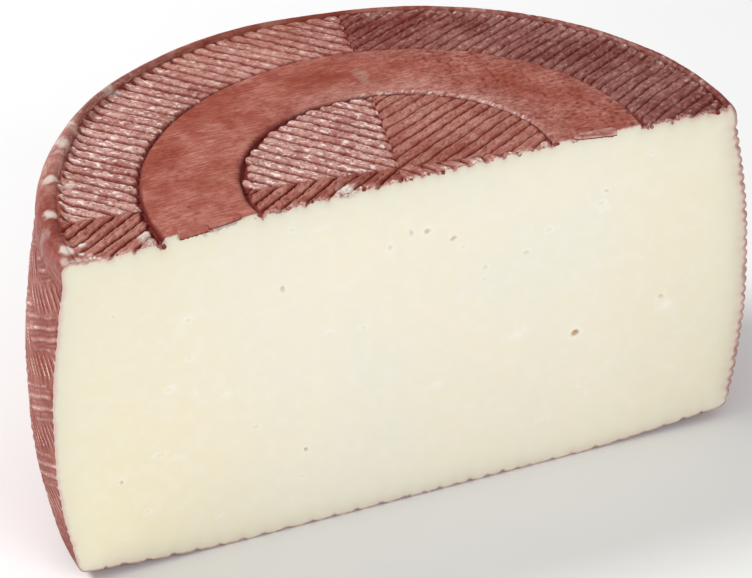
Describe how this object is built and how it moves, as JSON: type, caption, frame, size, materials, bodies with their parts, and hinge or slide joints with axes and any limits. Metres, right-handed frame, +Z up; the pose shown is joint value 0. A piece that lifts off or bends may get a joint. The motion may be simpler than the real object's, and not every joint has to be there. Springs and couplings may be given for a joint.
{
  "type": "wine-soaked goat cheese half wheel",
  "caption": "Half a wheel of wine-soaked goat cheese on its base: ridged and straw-printed red-brown crust, raised bare band on top, ivory paste on the flat cut.",
  "frame": {"origin": "middle of the bounding box, at the level of the base that it stands on", "axes": "+X along the straight cut, -Y is the way the cut face looks, +Z up through the ridged top"},
  "size_m": [0.1784, 0.096, 0.0881],
  "materials": {
    "rind": "matt to satin wine-stained crust",
    "paste": "satin cut cheese"
  },
  "bodies": {
    "root": {"cheese": "rind"}
  },
  "joints": []
}
